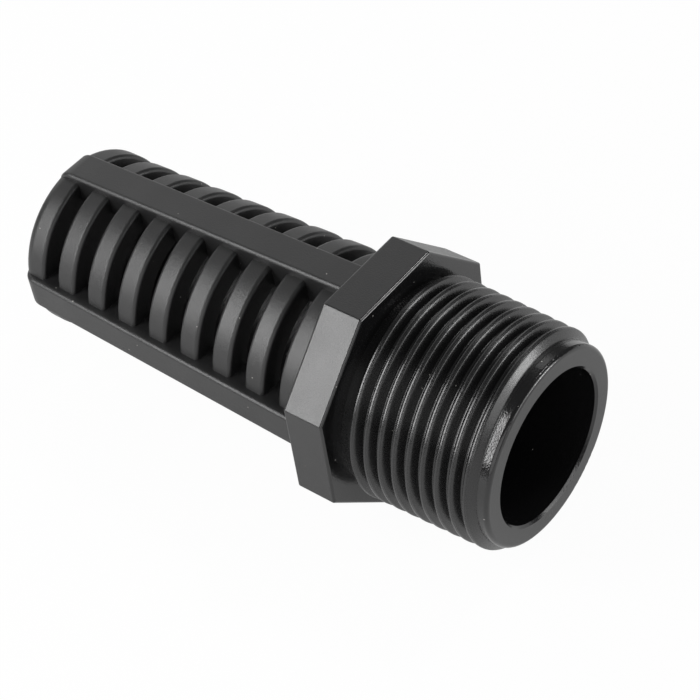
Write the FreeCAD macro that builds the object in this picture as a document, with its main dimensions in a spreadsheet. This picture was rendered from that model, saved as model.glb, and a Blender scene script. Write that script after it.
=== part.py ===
import FreeCAD, Part
import math
import os

import Sketcher

# Threaded suction strainer, moulded in one piece
# The long axis is X. The collar's face on the thread side lies in the plane X = 0, the
# thread stub stands on its +X side and the slotted barrel on its -X side. +Z is the
# outward normal of one flat of the octagonal collar, and one of the four bars lies
# along the top of the barrel under that flat.

os.makedirs("parts", exist_ok=True)
doc = FreeCAD.newDocument("suction_strainer")

# Driving sizes in millimetres, one named cell each
SIZES = (
    ("across_flats", 38.0, "octagonal collar, flat to flat"),
    ("collar_depth", 6.7, "collar, along the axis"),
    ("collar_round", 0.4, "radius on every edge of the collar"),
    ("bore_radius", 11.8, "straight bore through stub, collar and neck"),
    ("mouth_bevel", 0.35, "bevel at the mouth of the bore"),
    ("stub_depth", 24.1, "collar face to the end face of the stub"),
    ("root_radius", 15.57, "root of the taper thread at the collar face"),
    ("root_taper", 0.03125, "radius lost for each millimetre along the thread"),
    ("nose_depth", 2.2, "plain nose beyond the last thread"),
    ("nose_radius", 15.2, "plain nose"),
    ("nose_lead", 0.5, "slope from the thread root up to the nose"),
    ("nose_round", 0.65, "radius round the end face"),
    ("barrel_depth", 56.85, "collar to the closed far end"),
    ("barrel_radius", 15.7, "ribs where the barrel leaves the collar"),
    ("barrel_radius_far", 13.97, "ribs carried on to the far end"),
    ("neck_depth", 4.9, "plain neck between the collar and the first slot"),
    ("ring_depth", 4.6, "plain ring between the last slot and the far end"),
    ("ring_radius", 14.27, "plain ring at the far end"),
    ("ring_round", 1.9, "radius round the closed far end"),
    ("slot_count", 8, "slots in each of the four windows"),
    ("slot_width", 2.6, "slot at the floor of its cut"),
    ("slot_flare", 0.12, "how far each wall of a slot leans back over the height of its cut"),
    ("slot_spare", 1.0, "how far a slot's cut runs out past the bars"),
    ("rib_round", 0.6, "radius on the outer edges of ribs, neck and ring"),
    ("bar_width", 5.6, "longitudinal bar"),
    ("bar_height", 16.9, "axis to the flat of a bar at the collar"),
    ("bar_height_far", 14.93, "axis to the flat of a bar at the far end"),
    ("bar_round", 0.6, "radius along the edges of a bar"),
    ("bar_end_round", 2.9, "radius where a bar turns down at the far end"),
    ("end_wall", 2.8, "thickness of the closed far end"),
    ("cavity_radius_far", 10.9, "inside of the barrel at the closed far end"),
    ("core_spare", 1.5, "from the cavity's wall in to the floor of a slot's cut"),
)

sheet = doc.addObject("Spreadsheet::Sheet", "Sizes")
for row, (name, value, meaning) in enumerate(SIZES, start=1):
    sheet.set("A%d" % row, name)
    sheet.set("B%d" % row, str(value))
    sheet.set("C%d" % row, meaning)
    sheet.setAlias("B%d" % row, name)
doc.recompute()

body = doc.addObject("PartDesign::Body", "strainer_body")
body.Label = "strainer_body"
bar_body = doc.addObject("PartDesign::Body", "bar_cross")
bar_body.Label = "bar_cross"

# Formulas that several features share, so that what lines up stays lined up
FAR_END = "-(Sizes.collar_depth + Sizes.barrel_depth)"
SLOT_START = "-(Sizes.collar_depth + Sizes.neck_depth)"
SLOT_END = "-(Sizes.collar_depth + Sizes.barrel_depth - Sizes.ring_depth)"
SLOT_TRAVEL = "(Sizes.barrel_depth - Sizes.neck_depth - Sizes.ring_depth - Sizes.slot_width)"
THREAD_END = "(Sizes.stub_depth - Sizes.nose_depth)"
SLOT_FAR = SLOT_START + " - Sizes.slot_width"
SLOT_FLOOR = "(Sizes.cavity_radius_far - Sizes.core_spare)"
SLOT_TOP = "(Sizes.bar_height + Sizes.slot_spare)"
HALF_FLAT = "Sizes.across_flats / 2"
HALF_SIDE = "Sizes.across_flats / 2 * tan(22.5)"
AXIS = None
NEAR = 0.01


def origin_feature(owner, role):
    """One of a body's own origin planes or axes, found by its role."""
    return next(item for item in owner.Origin.OriginFeatures if item.Role == role)


def add_outline(owner, name, role, corners):
    """A sketch on one of the body's origin planes, closed by straight edges through the corners.

    Each corner is a pair of formulas of the sheet's sizes, its distance along the
    sketch's first and second axis. AXIS in place of a formula puts the corner on the
    other axis. The rough start positions lie on a circle, and the solver moves them.
    """
    sketch = owner.newObject("Sketcher::SketchObject", name)
    sketch.AttachmentSupport = [(origin_feature(owner, role), "")]
    sketch.MapMode = "FlatFace"
    count = len(corners)
    rough = [
        FreeCAD.Vector(10 * math.cos(2 * math.pi * i / count), 20 + 10 * math.sin(2 * math.pi * i / count), 0)
        for i in range(count)
    ]
    for i in range(count):
        sketch.addGeometry(Part.LineSegment(rough[i], rough[(i + 1) % count]), False)
    for i in range(count):
        sketch.addConstraint(Sketcher.Constraint("Coincident", i, 2, (i + 1) % count, 1))
    for i, formulas in enumerate(corners):
        for kind, axis, formula in (("DistanceX", -2, formulas[0]), ("DistanceY", -1, formulas[1])):
            if formula is AXIS:
                sketch.addConstraint(Sketcher.Constraint("PointOnObject", i, 1, axis))
            else:
                index = sketch.addConstraint(Sketcher.Constraint(kind, i, 1, 5.0))
                sketch.setExpression("Constraints[%d]" % index, formula)
    return sketch


def add_feature(owner, kind, name, **properties):
    """A feature of a body. Text given for a property is a formula, anything else a value."""
    feature = owner.newObject(kind, name)
    for key, value in properties.items():
        if isinstance(value, str):
            feature.setExpression(key, value)
        else:
            setattr(feature, key, value)
    doc.recompute()
    return feature


def add_fillet(owner, name, base, radius, wanted):
    """Rounds the edges of base that the test wanted picks."""
    edges = ["Edge%d" % (i + 1) for i, edge in enumerate(base.Shape.Edges) if wanted(edge)]
    fillet = owner.newObject("PartDesign::Fillet", name)
    fillet.Base = (base, edges)
    fillet.setExpression("Radius", radius)
    doc.recompute()
    print(name, "on", len(edges), "edges")
    return fillet


def size(name):
    return float(sheet.get(name))


def off_axis(vertex):
    """Distance of a vertex from the long axis."""
    return math.hypot(vertex.Point.y, vertex.Point.z)


def is_straight(edge):
    """Whether the edge is as long as its two ends are apart."""
    ends = edge.Vertexes
    return len(ends) == 2 and abs(ends[0].Point.distanceToPoint(ends[1].Point) - edge.Length) < 1e-6


def is_outer_circle(edge, low, high):
    """Whether the edge is a whole circle on the outside of the part, with its X in a range."""
    if len(edge.Vertexes) != 1:
        return False
    vertex = edge.Vertexes[0]
    whole = abs(edge.Length - 2 * math.pi * off_axis(vertex)) < 1e-3
    return whole and low < vertex.Point.x < high and off_axis(vertex) > size("bore_radius")


# Turned envelope
# Stub, neck, barrel and far end as one solid of revolution, still without its bore.
# The step up to the ring lies in the last slot, so the slot's cut leaves nothing of it.
envelope_sketch = add_outline(body, "EnvelopeSketch", "XZ_Plane", [
    (FAR_END, AXIS),
    (FAR_END, "Sizes.ring_radius"),
    (SLOT_END, "Sizes.ring_radius"),
    (SLOT_END, "Sizes.barrel_radius_far + (Sizes.barrel_radius - Sizes.barrel_radius_far)"
               " * Sizes.ring_depth / Sizes.barrel_depth"),
    ("-Sizes.collar_depth", "Sizes.barrel_radius"),
    ("-Sizes.collar_depth / 2", "Sizes.barrel_radius"),
    ("-Sizes.collar_depth / 2", "Sizes.root_radius"),
    (AXIS, "Sizes.root_radius"),
    (THREAD_END, "Sizes.root_radius - Sizes.root_taper * (Sizes.stub_depth - Sizes.nose_depth)"),
    (THREAD_END + " + Sizes.nose_lead", "Sizes.nose_radius"),
    ("Sizes.stub_depth", "Sizes.nose_radius"),
    ("Sizes.stub_depth", AXIS),
])
envelope = add_feature(body, "PartDesign::Revolution", "Envelope", Profile=envelope_sketch,
                       ReferenceAxis=(envelope_sketch, ["H_Axis"]), Angle=360.0)

# Slots
# One groove, a little wider outside than inside so that the mould can draw, repeated
# along the barrel. It stops short of the axis, inside the wall that the cavity takes
# away later, so the turned part stays in one piece until its bars are on.
slot_sketch = add_outline(body, "SlotSketch", "XZ_Plane", [
    (SLOT_START, SLOT_FLOOR),
    (SLOT_START + " + Sizes.slot_flare", SLOT_TOP),
    (SLOT_FAR + " - Sizes.slot_flare", SLOT_TOP),
    (SLOT_FAR, SLOT_FLOOR),
])
slot = add_feature(body, "PartDesign::Groove", "FirstSlot", Profile=slot_sketch,
                   ReferenceAxis=(slot_sketch, ["H_Axis"]), Angle=360.0)
slots = add_feature(body, "PartDesign::LinearPattern", "Slots", Originals=[slot],
                    Direction=(origin_feature(body, "X_Axis"), [""]), Reversed=True,
                    Length=SLOT_TRAVEL, Occurrences="Sizes.slot_count")
body.Tip = slots
doc.recompute()

# Rounded rims of the ribs, the neck and the ring, then the rounded far end and nose
barrel_start = -size("collar_depth")
barrel_end = barrel_start - size("barrel_depth")
stub_end = size("stub_depth")
rims = add_fillet(body, "RibRims", slots, "Sizes.rib_round", lambda edge: is_outer_circle(
    edge, barrel_end + NEAR, barrel_start - NEAR))
far_rim = add_fillet(body, "FarEndRound", rims, "Sizes.ring_round", lambda edge: is_outer_circle(
    edge, barrel_end - NEAR, barrel_end + NEAR))
nose_rim = add_fillet(body, "NoseRound", far_rim, "Sizes.nose_round", lambda edge: is_outer_circle(
    edge, stub_end - NEAR, stub_end + NEAR))

# Bars
# Two crossed slabs carry the four bars of the barrel. Each bar has a flat top that
# tapers with the barrel and turns down over the far end, and its long edges are
# rounded. The slabs reach into the collar at one end, and at the other their inner
# part stays within the thickness of the end wall.
BAR_HEEL = "(Sizes.bar_height_far - Sizes.bar_end_round)"
INSIDE_WALL = FAR_END + " + Sizes.end_wall / 2"
bar_sketch = add_outline(bar_body, "BarSketch", "XZ_Plane", [
    ("-Sizes.collar_depth / 2", "Sizes.bar_height"),
    ("-Sizes.collar_depth", "Sizes.bar_height"),
    (FAR_END, "Sizes.bar_height_far"),
    (FAR_END, BAR_HEEL),
    (INSIDE_WALL, BAR_HEEL + " - Sizes.end_wall / 2"),
    (INSIDE_WALL, "-(" + BAR_HEEL + " - Sizes.end_wall / 2)"),
    (FAR_END, "-" + BAR_HEEL),
    (FAR_END, "-Sizes.bar_height_far"),
    ("-Sizes.collar_depth", "-Sizes.bar_height"),
    ("-Sizes.collar_depth / 2", "-Sizes.bar_height"),
])
slab = add_feature(bar_body, "PartDesign::Pad", "Slab", Profile=bar_sketch, Length="Sizes.bar_width",
                   Midplane=True)
cross = add_feature(bar_body, "PartDesign::PolarPattern", "Cross", Originals=[slab],
                    Axis=(origin_feature(bar_body, "X_Axis"), [""]), Angle=90.0, Occurrences=2)
bar_body.Tip = cross
doc.recompute()
bar_ends = add_fillet(bar_body, "BarEndRound", cross, "Sizes.bar_end_round", lambda edge: (
    is_straight(edge) and all(
        abs(vertex.Point.x - barrel_end) < NEAR and off_axis(vertex) > size("bar_height_far")
        for vertex in edge.Vertexes)))
bar_edges = add_fillet(bar_body, "BarEdges", bar_ends, "Sizes.bar_round", lambda edge: (
    is_straight(edge) and edge.Length > size("barrel_depth") / 2 and all(
        off_axis(vertex) > size("bar_height_far") for vertex in edge.Vertexes)))
bar_body.Tip = bar_edges
doc.recompute()

# The bars join the turned part
joined = body.newObject("PartDesign::Boolean", "Joined")
joined.setObjects([bar_body])
joined.Type = 0
body.Tip = joined
doc.recompute()

# Octagonal collar
# A regular octagon for a spanner, with a flat at the top and its edges just broken.
collar_sketch = add_outline(body, "CollarSketch", "YZ_Plane", [
    (HALF_SIDE, HALF_FLAT),
    ("-" + HALF_SIDE, HALF_FLAT),
    ("-" + HALF_FLAT, HALF_SIDE),
    ("-" + HALF_FLAT, "-" + HALF_SIDE),
    ("-" + HALF_SIDE, "-" + HALF_FLAT),
    (HALF_SIDE, "-" + HALF_FLAT),
    (HALF_FLAT, "-" + HALF_SIDE),
    (HALF_FLAT, HALF_SIDE),
])
collar = add_feature(body, "PartDesign::Pad", "Collar", Profile=collar_sketch, Length="Sizes.collar_depth",
                     Reversed=True)
collar_edges = add_fillet(body, "CollarEdges", collar, "Sizes.collar_round", lambda edge: (
    is_straight(edge) and all(off_axis(vertex) > size("across_flats") / 2 + NEAR for vertex in edge.Vertexes)))

# Bore and cavity
# A straight bore through stub, collar and neck, with a bevelled mouth, then a slight
# draft to the closed far end. It takes the core away, and the ribs are left as arcs
# between the bars.
bore_sketch = add_outline(body, "BoreSketch", "XZ_Plane", [
    ("Sizes.stub_depth", AXIS),
    ("Sizes.stub_depth", "Sizes.bore_radius + Sizes.mouth_bevel"),
    ("Sizes.stub_depth - Sizes.mouth_bevel", "Sizes.bore_radius"),
    (SLOT_START, "Sizes.bore_radius"),
    (FAR_END + " + Sizes.end_wall", "Sizes.cavity_radius_far"),
    (FAR_END + " + Sizes.end_wall", AXIS),
])
bore = add_feature(body, "PartDesign::Groove", "Bore", Profile=bore_sketch,
                   ReferenceAxis=(bore_sketch, ["H_Axis"]), Angle=360.0)
body.Tip = bore
body.Placement = FreeCAD.Placement()
doc.recompute()

# Checks before anything is written
for item in doc.Objects:
    if "Invalid" in item.State or "Error" in item.State:
        raise RuntimeError("%s did not build: %s" % (item.Name, item.State))
shape = body.Shape
if shape.isNull() or not shape.isValid() or len(shape.Solids) != 1:
    raise RuntimeError("%s is not one valid solid" % body.Label)

shape.exportStep("parts/%s.step" % body.Label)
box = shape.BoundBox
print("%s: %d faces, %.0f mm3, X %.2f to %.2f, Y %.2f to %.2f, Z %.2f to %.2f" % (
    body.Label, len(shape.Faces), shape.Volume, box.XMin, box.XMax, box.YMin, box.YMax, box.ZMin, box.ZMax))
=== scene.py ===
# %% [markdown]
# This lesson shows a threaded suction strainer, lit for a catalogue. The object is one moulding in black
# plastic: a slotted barrel that keeps dirt out of a pump's suction line, an octagonal collar for a spanner,
# and a tapered pipe thread round the outlet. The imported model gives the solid, in metres, with its x axis
# along the outlet. The lesson adds what the solid leaves out: the thread's ridge, the plastic's fine grain,
# and a small white studio.

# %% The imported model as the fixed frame
import math

import bpy
import numpy as np
from mathutils import Matrix, Vector


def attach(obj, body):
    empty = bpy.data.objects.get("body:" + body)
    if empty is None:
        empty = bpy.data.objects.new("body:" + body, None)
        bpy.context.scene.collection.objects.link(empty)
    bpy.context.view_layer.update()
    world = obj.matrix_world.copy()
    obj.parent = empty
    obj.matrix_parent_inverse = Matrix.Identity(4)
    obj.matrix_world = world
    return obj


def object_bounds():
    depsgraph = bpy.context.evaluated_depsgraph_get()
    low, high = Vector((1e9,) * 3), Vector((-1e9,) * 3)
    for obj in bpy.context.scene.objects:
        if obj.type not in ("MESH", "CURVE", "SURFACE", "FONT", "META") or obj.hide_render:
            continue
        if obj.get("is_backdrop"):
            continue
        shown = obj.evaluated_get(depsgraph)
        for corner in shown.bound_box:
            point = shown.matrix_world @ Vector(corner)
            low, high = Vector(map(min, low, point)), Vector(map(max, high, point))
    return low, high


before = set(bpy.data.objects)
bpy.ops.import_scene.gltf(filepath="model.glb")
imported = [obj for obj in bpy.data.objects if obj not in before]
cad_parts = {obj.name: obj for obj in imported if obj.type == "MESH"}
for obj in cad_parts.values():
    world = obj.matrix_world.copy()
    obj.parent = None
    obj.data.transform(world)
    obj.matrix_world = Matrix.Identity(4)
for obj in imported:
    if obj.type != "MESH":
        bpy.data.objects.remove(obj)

packed_low, packed_high = (list(corner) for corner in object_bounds())
MM = 0.001
print("box of the solid, mm:", [round((high - low) / MM, 2) for low, high in zip(packed_low, packed_high)])

# %% [markdown]
# The photograph was taken from above, a little to the thread's side, with a long lens, so parallel edges
# stay nearly parallel. A camera's turn is three directions: its right, its up, and back towards the viewer.
# They were found by lining up the collar's corners, the bars and the slots with the photograph, and here
# they are written straight into the camera's matrix, because that is exact and needs no aiming helper.

# %% The camera's three directions, its place and its lens
SENSOR_WIDTH_MM = 36.0
LENS_MM = 99.17
NEAREST_SEEN = 0.01
RIGHT = (0.7887, 0.6044, -0.1127)
UP = (-0.3690, 0.6119, 0.6996)
BACK = (0.4917, -0.5102, 0.7056)
EYE = (0.12735, -0.14308, 0.19882)

camera_data = bpy.data.cameras.new("camera")
camera_data.sensor_width = SENSOR_WIDTH_MM
camera_data.lens = LENS_MM
camera_data.clip_start = NEAREST_SEEN
camera = bpy.data.objects.new("camera", camera_data)
bpy.context.scene.collection.objects.link(camera)
camera_turn = Matrix((RIGHT, UP, BACK)).transposed()
camera.matrix_world = Matrix.Translation(EYE) @ camera_turn.to_4x4()
bpy.context.scene.camera = camera
print("camera is", round(Vector(EYE).length, 3), "m from the collar's thread side")

# %% [markdown]
# The thread below is worked out as a whole array of points first, because NumPy then moves all of them in
# one step. One helper makes a mesh from such an array and lets it ride on the solid. The other gives the
# points for a distance along the axis, a radius and an angle, which is how one thinks of a turned form.

# %% Points and faces become a piece that rides on the solid


def make_piece(name, points, faces):
    """A mesh from an array of points in millimetres and a list of faces."""
    mesh = bpy.data.meshes.new(name)
    mesh.from_pydata(np.asarray(points) * MM, [], faces)
    mesh.validate()
    mesh.shade_smooth()
    piece = bpy.data.objects.new(name, mesh)
    bpy.context.scene.collection.objects.link(piece)
    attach(piece, "root")
    print(name, "has", len(mesh.polygons), "faces")
    return piece


def round_the_axis(x, radius, turned):
    """Points at a distance along the axis, a radius, and an angle turned from +y towards +z."""
    return np.stack([x, radius * np.cos(turned), radius * np.sin(turned)], axis=-1)


print("a quarter turn from +y:", round_the_axis(0.0, 1.0, math.pi / 2).round(3))

# %% [markdown]
# The pipe thread is a ridge wound round a cone. Its flanks lean 27.5 degrees each way, and the mould leaves
# the crest flat, with a hairline along its front edge. The solid stops at the cone between the turns, so
# this piece covers that cone and adds the ridge: rounded edges, the hairline, and a last flank that runs
# out on the nose. A profile swept along a helix would overlap its neighbours, so it is one surface instead.
# The rows of the grid follow the helix, so that a crest's edge runs along them and never across, and each
# column stays at one angle. Turns are numbered along the axis, and the crest that was measured in the
# photograph is on turn 0.

# %% The thread's sizes, in millimetres
PITCH = 25.4 / 11
CREST_AT = 11.975
CREST_AT_ANGLE = math.radians(169.4)
CREST_RADIUS_AT_COLLAR = 17.08
CREST_FALL_PER_MM = 1 / 32
ROOT_RADIUS_AT_COLLAR = 15.64
ROOT_FALL_PER_MM = 0.0203
CREST_WIDTH = 0.63
FLANK_RUN = math.tan(math.radians(27.5))
LAST_FLANK_RUN = 0.66
CREST_SOFTNESS = 0.14
ROOT_SOFTNESS = 0.10
HAIRLINE_AT = 0.126
HAIRLINE_WIDTH = 0.045
HAIRLINE_DEPTH = 0.05
FIRST_TURN, LAST_TURN = -6, 5
COLUMNS = 144
print("pitch", round(PITCH, 3), "mm, crest", CREST_WIDTH, "mm wide")

# %% The rows across one turn, close together at edges and at the hairline
BAND_ENDS = (-PITCH / 2, -0.85, -0.50, -0.20, 0.04, 0.21, 0.50, 0.85, PITCH / 2)
ROWS_IN_BAND = (7, 3, 9, 3, 10, 9, 3, 7)
rows_across = np.concatenate([
    np.linspace(low, high, rows, endpoint=False)
    for low, high, rows in zip(BAND_ENDS[:-1], BAND_ENDS[1:], ROWS_IN_BAND)])
rows_per_turn = len(rows_across)
print("rows across one turn:", rows_per_turn)

# %% The grid of rows that follow the helix
crest_at_no_turn = CREST_AT - PITCH * CREST_AT_ANGLE / math.tau
turn_numbers = np.arange(FIRST_TURN, LAST_TURN + 1)
starts = crest_at_no_turn + PITCH * turn_numbers
row_starts = np.append((starts[:, None] + rows_across[None, :]).ravel(), starts[-1] + PITCH / 2)
row_across = np.append(np.tile(rows_across, len(turn_numbers)), -PITCH / 2)[:, None]
row_turn = np.append(np.repeat(turn_numbers, rows_per_turn), LAST_TURN + 1)[:, None]
angles = np.linspace(0.0, math.tau, COLUMNS + 1)
along = row_starts[:, None] + PITCH * angles[None, :] / math.tau
wound = row_turn + angles[None, :] / math.tau
print("rows run from", round(float(row_starts[0]), 2), "to", round(float(row_starts[-1]), 2), "mm")

# %% [markdown]
# Each point's radius is the root's, plus whatever the ridge stands above it. Each bend, from crest to flank
# and from flank to root, is a hyperbola, which rounds it by one formula. Where the surface has to end,
# inside the collar and inside the nose, it drops into the wall of the stub and stays out of sight. On the
# nose the root first sinks a tenth of a millimetre, under the solid's surface, so that only the ridge's
# last flank shows there.

# %% Two curves: a rounded bend, and an S-shaped step


def rounded_rise(value, softness):
    """Zero below zero and the value itself above, joined by a hyperbola."""
    return 0.5 * (value + np.hypot(value, softness))


def ease(value, low, high):
    """An S-shaped step from 0 at the low value to 1 at the high one: 3 t squared less 2 t cubed."""
    t = np.clip((value - low) / (high - low), 0.0, 1.0)
    return t * t * (3 - 2 * t)


print("the bend stands", rounded_rise(0.0, CREST_SOFTNESS), "mm off the crest's corner")

# %% The ridge's radius, with blunt ends and a last flank that leans more
RIDGE_STARTS, RIDGE_STOPS = -4.0, 4.76
BLUNT_END = 0.03
LAST_CREST = 4
LAST_FLANK_EASES_IN = 0.15
DIP_FROM, DIP_TO = 22.3, 22.75
DIP = 0.1
HIDDEN_BEFORE, HIDDEN_PAST = -0.2, 22.9
HIDDEN_RADIUS = 13.4
HIDDEN_SHORTER = 0.35

leans_more = (row_across > 0) * ease(wound, LAST_CREST, LAST_CREST + LAST_FLANK_EASES_IN)
flank_run = FLANK_RUN + (LAST_FLANK_RUN - FLANK_RUN) * leans_more
below_crest = rounded_rise((np.abs(row_across) - CREST_WIDTH / 2) / flank_run, CREST_SOFTNESS)
below_crest = below_crest + HAIRLINE_DEPTH * np.exp(-((row_across - HAIRLINE_AT) / HAIRLINE_WIDTH) ** 2)
root = ROOT_RADIUS_AT_COLLAR - ROOT_FALL_PER_MM * along - DIP * ease(along, DIP_FROM, DIP_TO)
crest = CREST_RADIUS_AT_COLLAR - CREST_FALL_PER_MM * along - below_crest
above_root = rounded_rise(crest - root, ROOT_SOFTNESS)
started = ease(wound, RIDGE_STARTS - BLUNT_END, RIDGE_STARTS)
stopped = ease(wound, RIDGE_STOPS, RIDGE_STOPS + BLUNT_END)
radius = root + started * (1 - stopped) * above_root
radius = np.where((along < HIDDEN_BEFORE) | (along > HIDDEN_PAST), HIDDEN_RADIUS, radius)
along = np.where(along > HIDDEN_PAST, HIDDEN_PAST + HIDDEN_SHORTER * (along - HIDDEN_PAST), along)
seen_radius = radius[radius > HIDDEN_RADIUS]
print("radius from", round(float(seen_radius.min()), 2), "to", round(float(seen_radius.max()), 2), "mm")

# %% [markdown]
# A grid that goes once round has to close on itself. The points of its last column are those of the first
# column, one pitch further on, so the last column isn't kept and the faces use the first one's points
# again. Only the last turn has no such partner, and it gets points of its own. A band of faces inside the
# wall then joins the loop at the collar to the loop at the nose, so that the piece is closed.

# %% The seam, the inner band and the finished thread
last_row = len(row_starts) - 1
points = round_the_axis(along, radius, angles[None, :])[:, :-1]
number = np.arange((last_row + 1) * COLUMNS).reshape(last_row + 1, COLUMNS)
last_turn_seam = round_the_axis(
    along[-rows_per_turn:, -1], radius[-rows_per_turn:, -1], np.zeros(rows_per_turn))
seam = np.concatenate([number[rows_per_turn:, 0], number.size + np.arange(rows_per_turn)])
number = np.hstack([number, seam[:, None]])
points = np.vstack([points.reshape(-1, 3), last_turn_seam])
skin = np.stack([number[:-1, :-1], number[:-1, 1:], number[1:, 1:], number[1:, :-1]], axis=-1).reshape(-1, 4)

near_loop = np.concatenate([number[0, :-1], number[rows_per_turn:0:-1, 0]])
far_loop = np.concatenate([number[-1, :-1], number[last_row:last_row - rows_per_turn:-1, -1]])
band = np.stack([near_loop, far_loop, np.roll(far_loop, -1), np.roll(near_loop, -1)], axis=-1)
thread = make_piece("outlet_thread", points, np.vstack([skin, band]).tolist())

# %% [markdown]
# A finish is a graph of nodes, and its sums are easier to read as sums. One small class wraps a number that
# changes over the surface, so that adding or multiplying it in Python adds the Math node. Another holds the
# graph itself, and has one method that adds any node.

# %% An amount that can be summed


class Amount:
    """A number that changes over the surface; sums on it add Math nodes to its finish."""

    def __init__(self, finish, socket):
        self.finish = finish
        self.socket = socket

    def _sum(self, operation, first, second):
        node = self.finish.add("ShaderNodeMath", {"operation": operation}, {0: first, 1: second})
        return Amount(self.finish, node.outputs[0])

    def __add__(self, other):
        return self._sum("ADD", self, other)

    def __sub__(self, other):
        return self._sum("SUBTRACT", self, other)

    def __rsub__(self, other):
        return self._sum("SUBTRACT", other, self)

    def __mul__(self, other):
        return self._sum("MULTIPLY", self, other)

    __radd__ = __add__
    __rmul__ = __mul__

    def below(self, limit):
        """1 where the number is under the limit, and 0 elsewhere."""
        return self._sum("LESS_THAN", self, limit)

    def above(self, limit):
        """1 where the number is over the limit, and 0 elsewhere."""
        return self._sum("GREATER_THAN", self, limit)


# %% A finish that adds nodes


class Finish:
    """The nodes of one material, or of the world."""

    def __init__(self, owner):
        self.owner = owner
        owner.use_nodes = True
        self.tree = owner.node_tree
        self.tree.nodes.clear()

    def add(self, kind, settings, sockets):
        """Any node: its type, its settings, then the values or links of its sockets."""
        node = self.tree.nodes.new(kind)
        for name, value in settings.items():
            setattr(node, name, value)
        for name, value in sockets.items():
            value = getattr(value, "socket", value)
            if isinstance(value, bpy.types.NodeSocket):
                self.tree.links.new(value, node.inputs[name])
            else:
                node.inputs[name].default_value = value
        return node

    def amount(self, kind, settings, sockets):
        """The same, for a node whose first output is a number."""
        return Amount(self, self.add(kind, settings, sockets).outputs[0])

    def surface(self, shader, output="ShaderNodeOutputMaterial"):
        """Sends a shader to the output and gives back what it belongs to."""
        self.add(output, {}, {"Surface": shader.outputs[0]})
        return self.owner


# %% [markdown]
# The real part looks like glass-filled plastic, nearly black, with the fine sand that a spark-eroded mould
# leaves. Almost all the light that comes off it is reflection, so the grain matters more than the colour.
# The grain is one noise, about a quarter of a millimetre across, that moves both the bump and the
# roughness. A slow noise clouds the sheen a little, and a sparse scatter of dots is the dust that such a
# part always carries. In the photograph the barrel is the dullest and the collar is smoother, so the gloss
# steps up at the collar's back. It steps up again at the collar's front edge, and from there to the outlet
# the part is smoothest.

# %% One recipe for every moulded surface
PLASTIC = (0.006, 0.006, 0.0063, 1.0)
DUST = (0.35, 0.34, 0.32, 1.0)
REFRACTIVE_INDEX = 1.6
GRAINS_PER_METRE = 4200.0
CLOUDS_PER_METRE = 160.0
DUST_CELLS_PER_METRE = 380.0
DUST_RADIUS_IN_CELLS = 0.036
ROUGHNESS_SWING = 0.10


def moulded_plastic(name, roughness, grain_depth, gloss_steps=()):
    """Nearly black plastic: even colour with dust dots, and grain in both roughness and bump."""
    finish = Finish(bpy.data.materials.new(name))
    place = finish.add("ShaderNodeTexCoord", {}, {}).outputs["Object"]
    grain, cloud = (
        finish.amount("ShaderNodeTexNoise", {}, {"Vector": place, "Scale": scale, "Detail": 2.0})
        for scale in (GRAINS_PER_METRE, CLOUDS_PER_METRE))
    speck = finish.amount("ShaderNodeTexVoronoi", {}, {"Vector": place, "Scale": DUST_CELLS_PER_METRE})
    dust = speck.below(DUST_RADIUS_IN_CELLS)
    colour = finish.add("ShaderNodeMix", {"data_type": "RGBA"}, {0: dust, 6: PLASTIC, 7: DUST}).outputs[2]
    along_axis = finish.amount("ShaderNodeSeparateXYZ", {}, {"Vector": place})
    rough = roughness + ROUGHNESS_SWING * (grain - 0.5) + ROUGHNESS_SWING * (cloud - 0.5)
    for start, change in gloss_steps:
        rough = rough + change * along_axis.above(start)
    bump = finish.add("ShaderNodeBump", {}, {"Height": grain, "Distance": grain_depth, "Strength": 1.0})
    shader = finish.add("ShaderNodeBsdfPrincipled", {}, {
        "Base Color": colour, "Roughness": rough, "IOR": REFRACTIVE_INDEX, "Normal": bump.outputs[0]})
    return finish.surface(shader)


# %% The two finishes, with places and the grain's depth in metres
BARREL_ROUGHNESS, THREAD_ROUGHNESS = 0.42, 0.27
BARREL_GRAIN_DEPTH, THREAD_GRAIN_DEPTH = 0.00002, 0.000012
COLLAR_BACK, COLLAR_FRONT_EDGE = -0.00655, -0.00042
STEP_AT_BACK, STEP_AT_FRONT_EDGE = -0.08, -0.18

body_plastic = moulded_plastic("moulded_body", BARREL_ROUGHNESS, BARREL_GRAIN_DEPTH, (
    (COLLAR_BACK, STEP_AT_BACK), (COLLAR_FRONT_EDGE, STEP_AT_FRONT_EDGE)))
thread_plastic = moulded_plastic("moulded_thread", THREAD_ROUGHNESS, THREAD_GRAIN_DEPTH)
print("finishes:", body_plastic.name, thread_plastic.name)

# %% The finishes on the pieces
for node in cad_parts.values():
    faces = node.data.polygons
    print(node.name, "smooth faces:", sum(face.use_smooth for face in faces), "of", len(faces))
    node.data.materials.clear()
    node.data.materials.append(body_plastic)
thread.data.materials.append(thread_plastic)

# %% [markdown]
# In the photograph the part lies on white and hardly casts a shadow. The floor is matt white, and for the
# camera most of it is replaced by plain white light, so that it keeps only a trace of the shadow.

# %% The floor
FLOOR_HALF_WIDTH = 1.5
floor_corners = [(-1, -1), (1, -1), (1, 1), (-1, 1)]
floor_points = [(x * FLOOR_HALF_WIDTH, y * FLOOR_HALF_WIDTH, packed_low[2]) for x, y in floor_corners]
floor_mesh = bpy.data.meshes.new("floor")
floor_mesh.from_pydata(floor_points, [], [(0, 1, 2, 3)])
floor = bpy.data.objects.new("floor", floor_mesh)
bpy.context.scene.collection.objects.link(floor)
floor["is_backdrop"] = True
print("floor at", round(packed_low[2] / MM, 2), "mm")

# %% The share of plain white, by the kind of ray
CAMERA_WHITE = 0.96
MIRROR_WHITE = 0.30
PAPER = (0.9, 0.9, 0.9, 1.0)


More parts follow.
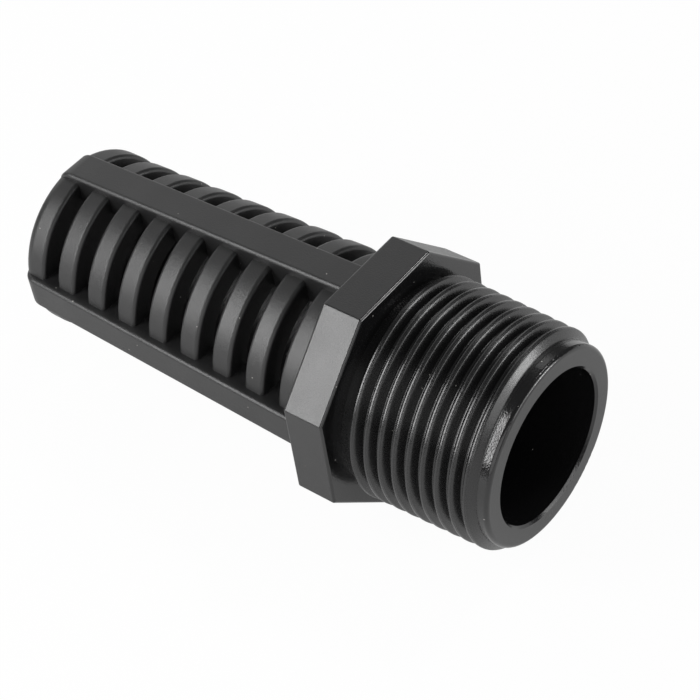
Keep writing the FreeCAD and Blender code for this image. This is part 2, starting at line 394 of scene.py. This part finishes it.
def plain_white_share(finish):
    """How much plain white a ray sees: most for the camera, some for mirror-like or clear ones."""
    ray = finish.add("ShaderNodeLightPath", {}, {})
    kinds = ("Is Camera Ray", "Is Glossy Ray", "Is Transmission Ray")
    camera_ray, glossy, clear = (Amount(finish, ray.outputs[kind]) for kind in kinds)
    return CAMERA_WHITE * camera_ray + MIRROR_WHITE * (glossy + clear)


paper = Finish(bpy.data.materials.new("floor_paper"))
matt = paper.add("ShaderNodeBsdfDiffuse", {}, {"Color": PAPER})
white = paper.add("ShaderNodeEmission", {}, {"Strength": 1.0})
floor_look = paper.add("ShaderNodeMixShader", {}, {
    0: plain_white_share(paper), 1: matt.outputs[0], 2: white.outputs[0]})
floor_mesh.materials.append(paper.surface(floor_look))
print("share of plain white for the camera:", CAMERA_WHITE)

# %% [markdown]
# The photograph's own light was worked out from its highlights: for each bright patch, where a mirror there
# would point. One tall softbox stands at the left and in front, and leans with the collar's left flat,
# which mirrors it. Three wide dim walls stand low round the part. They leave a gap behind it on the right,
# where nothing shines. Two small lamps, one low on the right and one high behind the part, stand where only
# rounded edges mirror them: they draw the thin bright line along the collar's front edge. The room above
# the walls is nearly dark, which keeps the collar's face and the thread's grooves black; only the camera
# sees it as white.

# %% A softbox by its place, lean, size and brightness


def softbox(name, round_from_x, height_angle, distance, upright, width, height, brightness):
    """A rectangular lamp that faces the part; its power is its brightness times its area, times four.

    Its place is an angle round from +x towards +y, an angle above the floor, and a distance.
    """
    level, rise = math.radians(round_from_x), math.radians(height_angle)
    away = Vector((math.cos(rise) * math.cos(level), math.cos(rise) * math.sin(level), math.sin(rise)))
    across = Vector(upright).cross(away).normalized()
    lamp = bpy.data.lights.new(name, "AREA")
    lamp.shape = "RECTANGLE"
    lamp.size, lamp.size_y = width, height
    lamp.energy = brightness * width * height * 4
    box = bpy.data.objects.new(name, lamp)
    box_turn = Matrix((across, away.cross(across), away)).transposed()
    box.matrix_world = Matrix.Translation(away * distance) @ box_turn.to_4x4()
    box.visible_camera = False
    bpy.context.scene.collection.objects.link(box)
    print(name, round(lamp.energy, 2), "W")


# %% The softbox, the walls and the two small lamps, in degrees and metres
UPRIGHT = (0.0, 0.0, 1.0)
WITH_LEFT_FLAT = (0.0, 0.615, 0.788)
LAMPS = [
    # name, round from +x, height angle, distance, upright direction, width, height, brightness
    ("left_softbox", 232.5, 31.9, 0.6, WITH_LEFT_FLAT, 0.18, 0.52, 7.9),
    ("front_wall", 300.0, 22.0, 0.9, UPRIGHT, 1.2, 0.66, 1.0),
    ("back_left_wall", 150.0, 27.0, 0.9, UPRIGHT, 1.0, 0.75, 0.75),
    ("right_wall", 20.0, 14.0, 0.9, UPRIGHT, 0.9, 0.46, 1.9),
    ("edge_lamp", 31.0, 6.5, 0.9, UPRIGHT, 0.30, 0.14, 8.0),
    ("line_lamp", 72.0, 55.0, 0.9, UPRIGHT, 0.16, 0.12, 15.0),
]
for lamp_settings in LAMPS:
    softbox(*lamp_settings)

# %% The room, dim for the part and white for the camera
ROOM_WHITE = 0.12
room = Finish(bpy.data.worlds.new("room"))
seen_by_camera = Amount(room, room.add("ShaderNodeLightPath", {}, {}).outputs["Is Camera Ray"])
room_light = room.add("ShaderNodeBackground", {}, {
    "Color": (1.0, 1.0, 1.0, 1.0), "Strength": ROOM_WHITE + (1.0 - ROOM_WHITE) * seen_by_camera})
bpy.context.scene.world = room.surface(room_light, "ShaderNodeOutputWorld")
bpy.context.scene.view_settings.view_transform = "Standard"
print("room light on the part:", ROOM_WHITE)
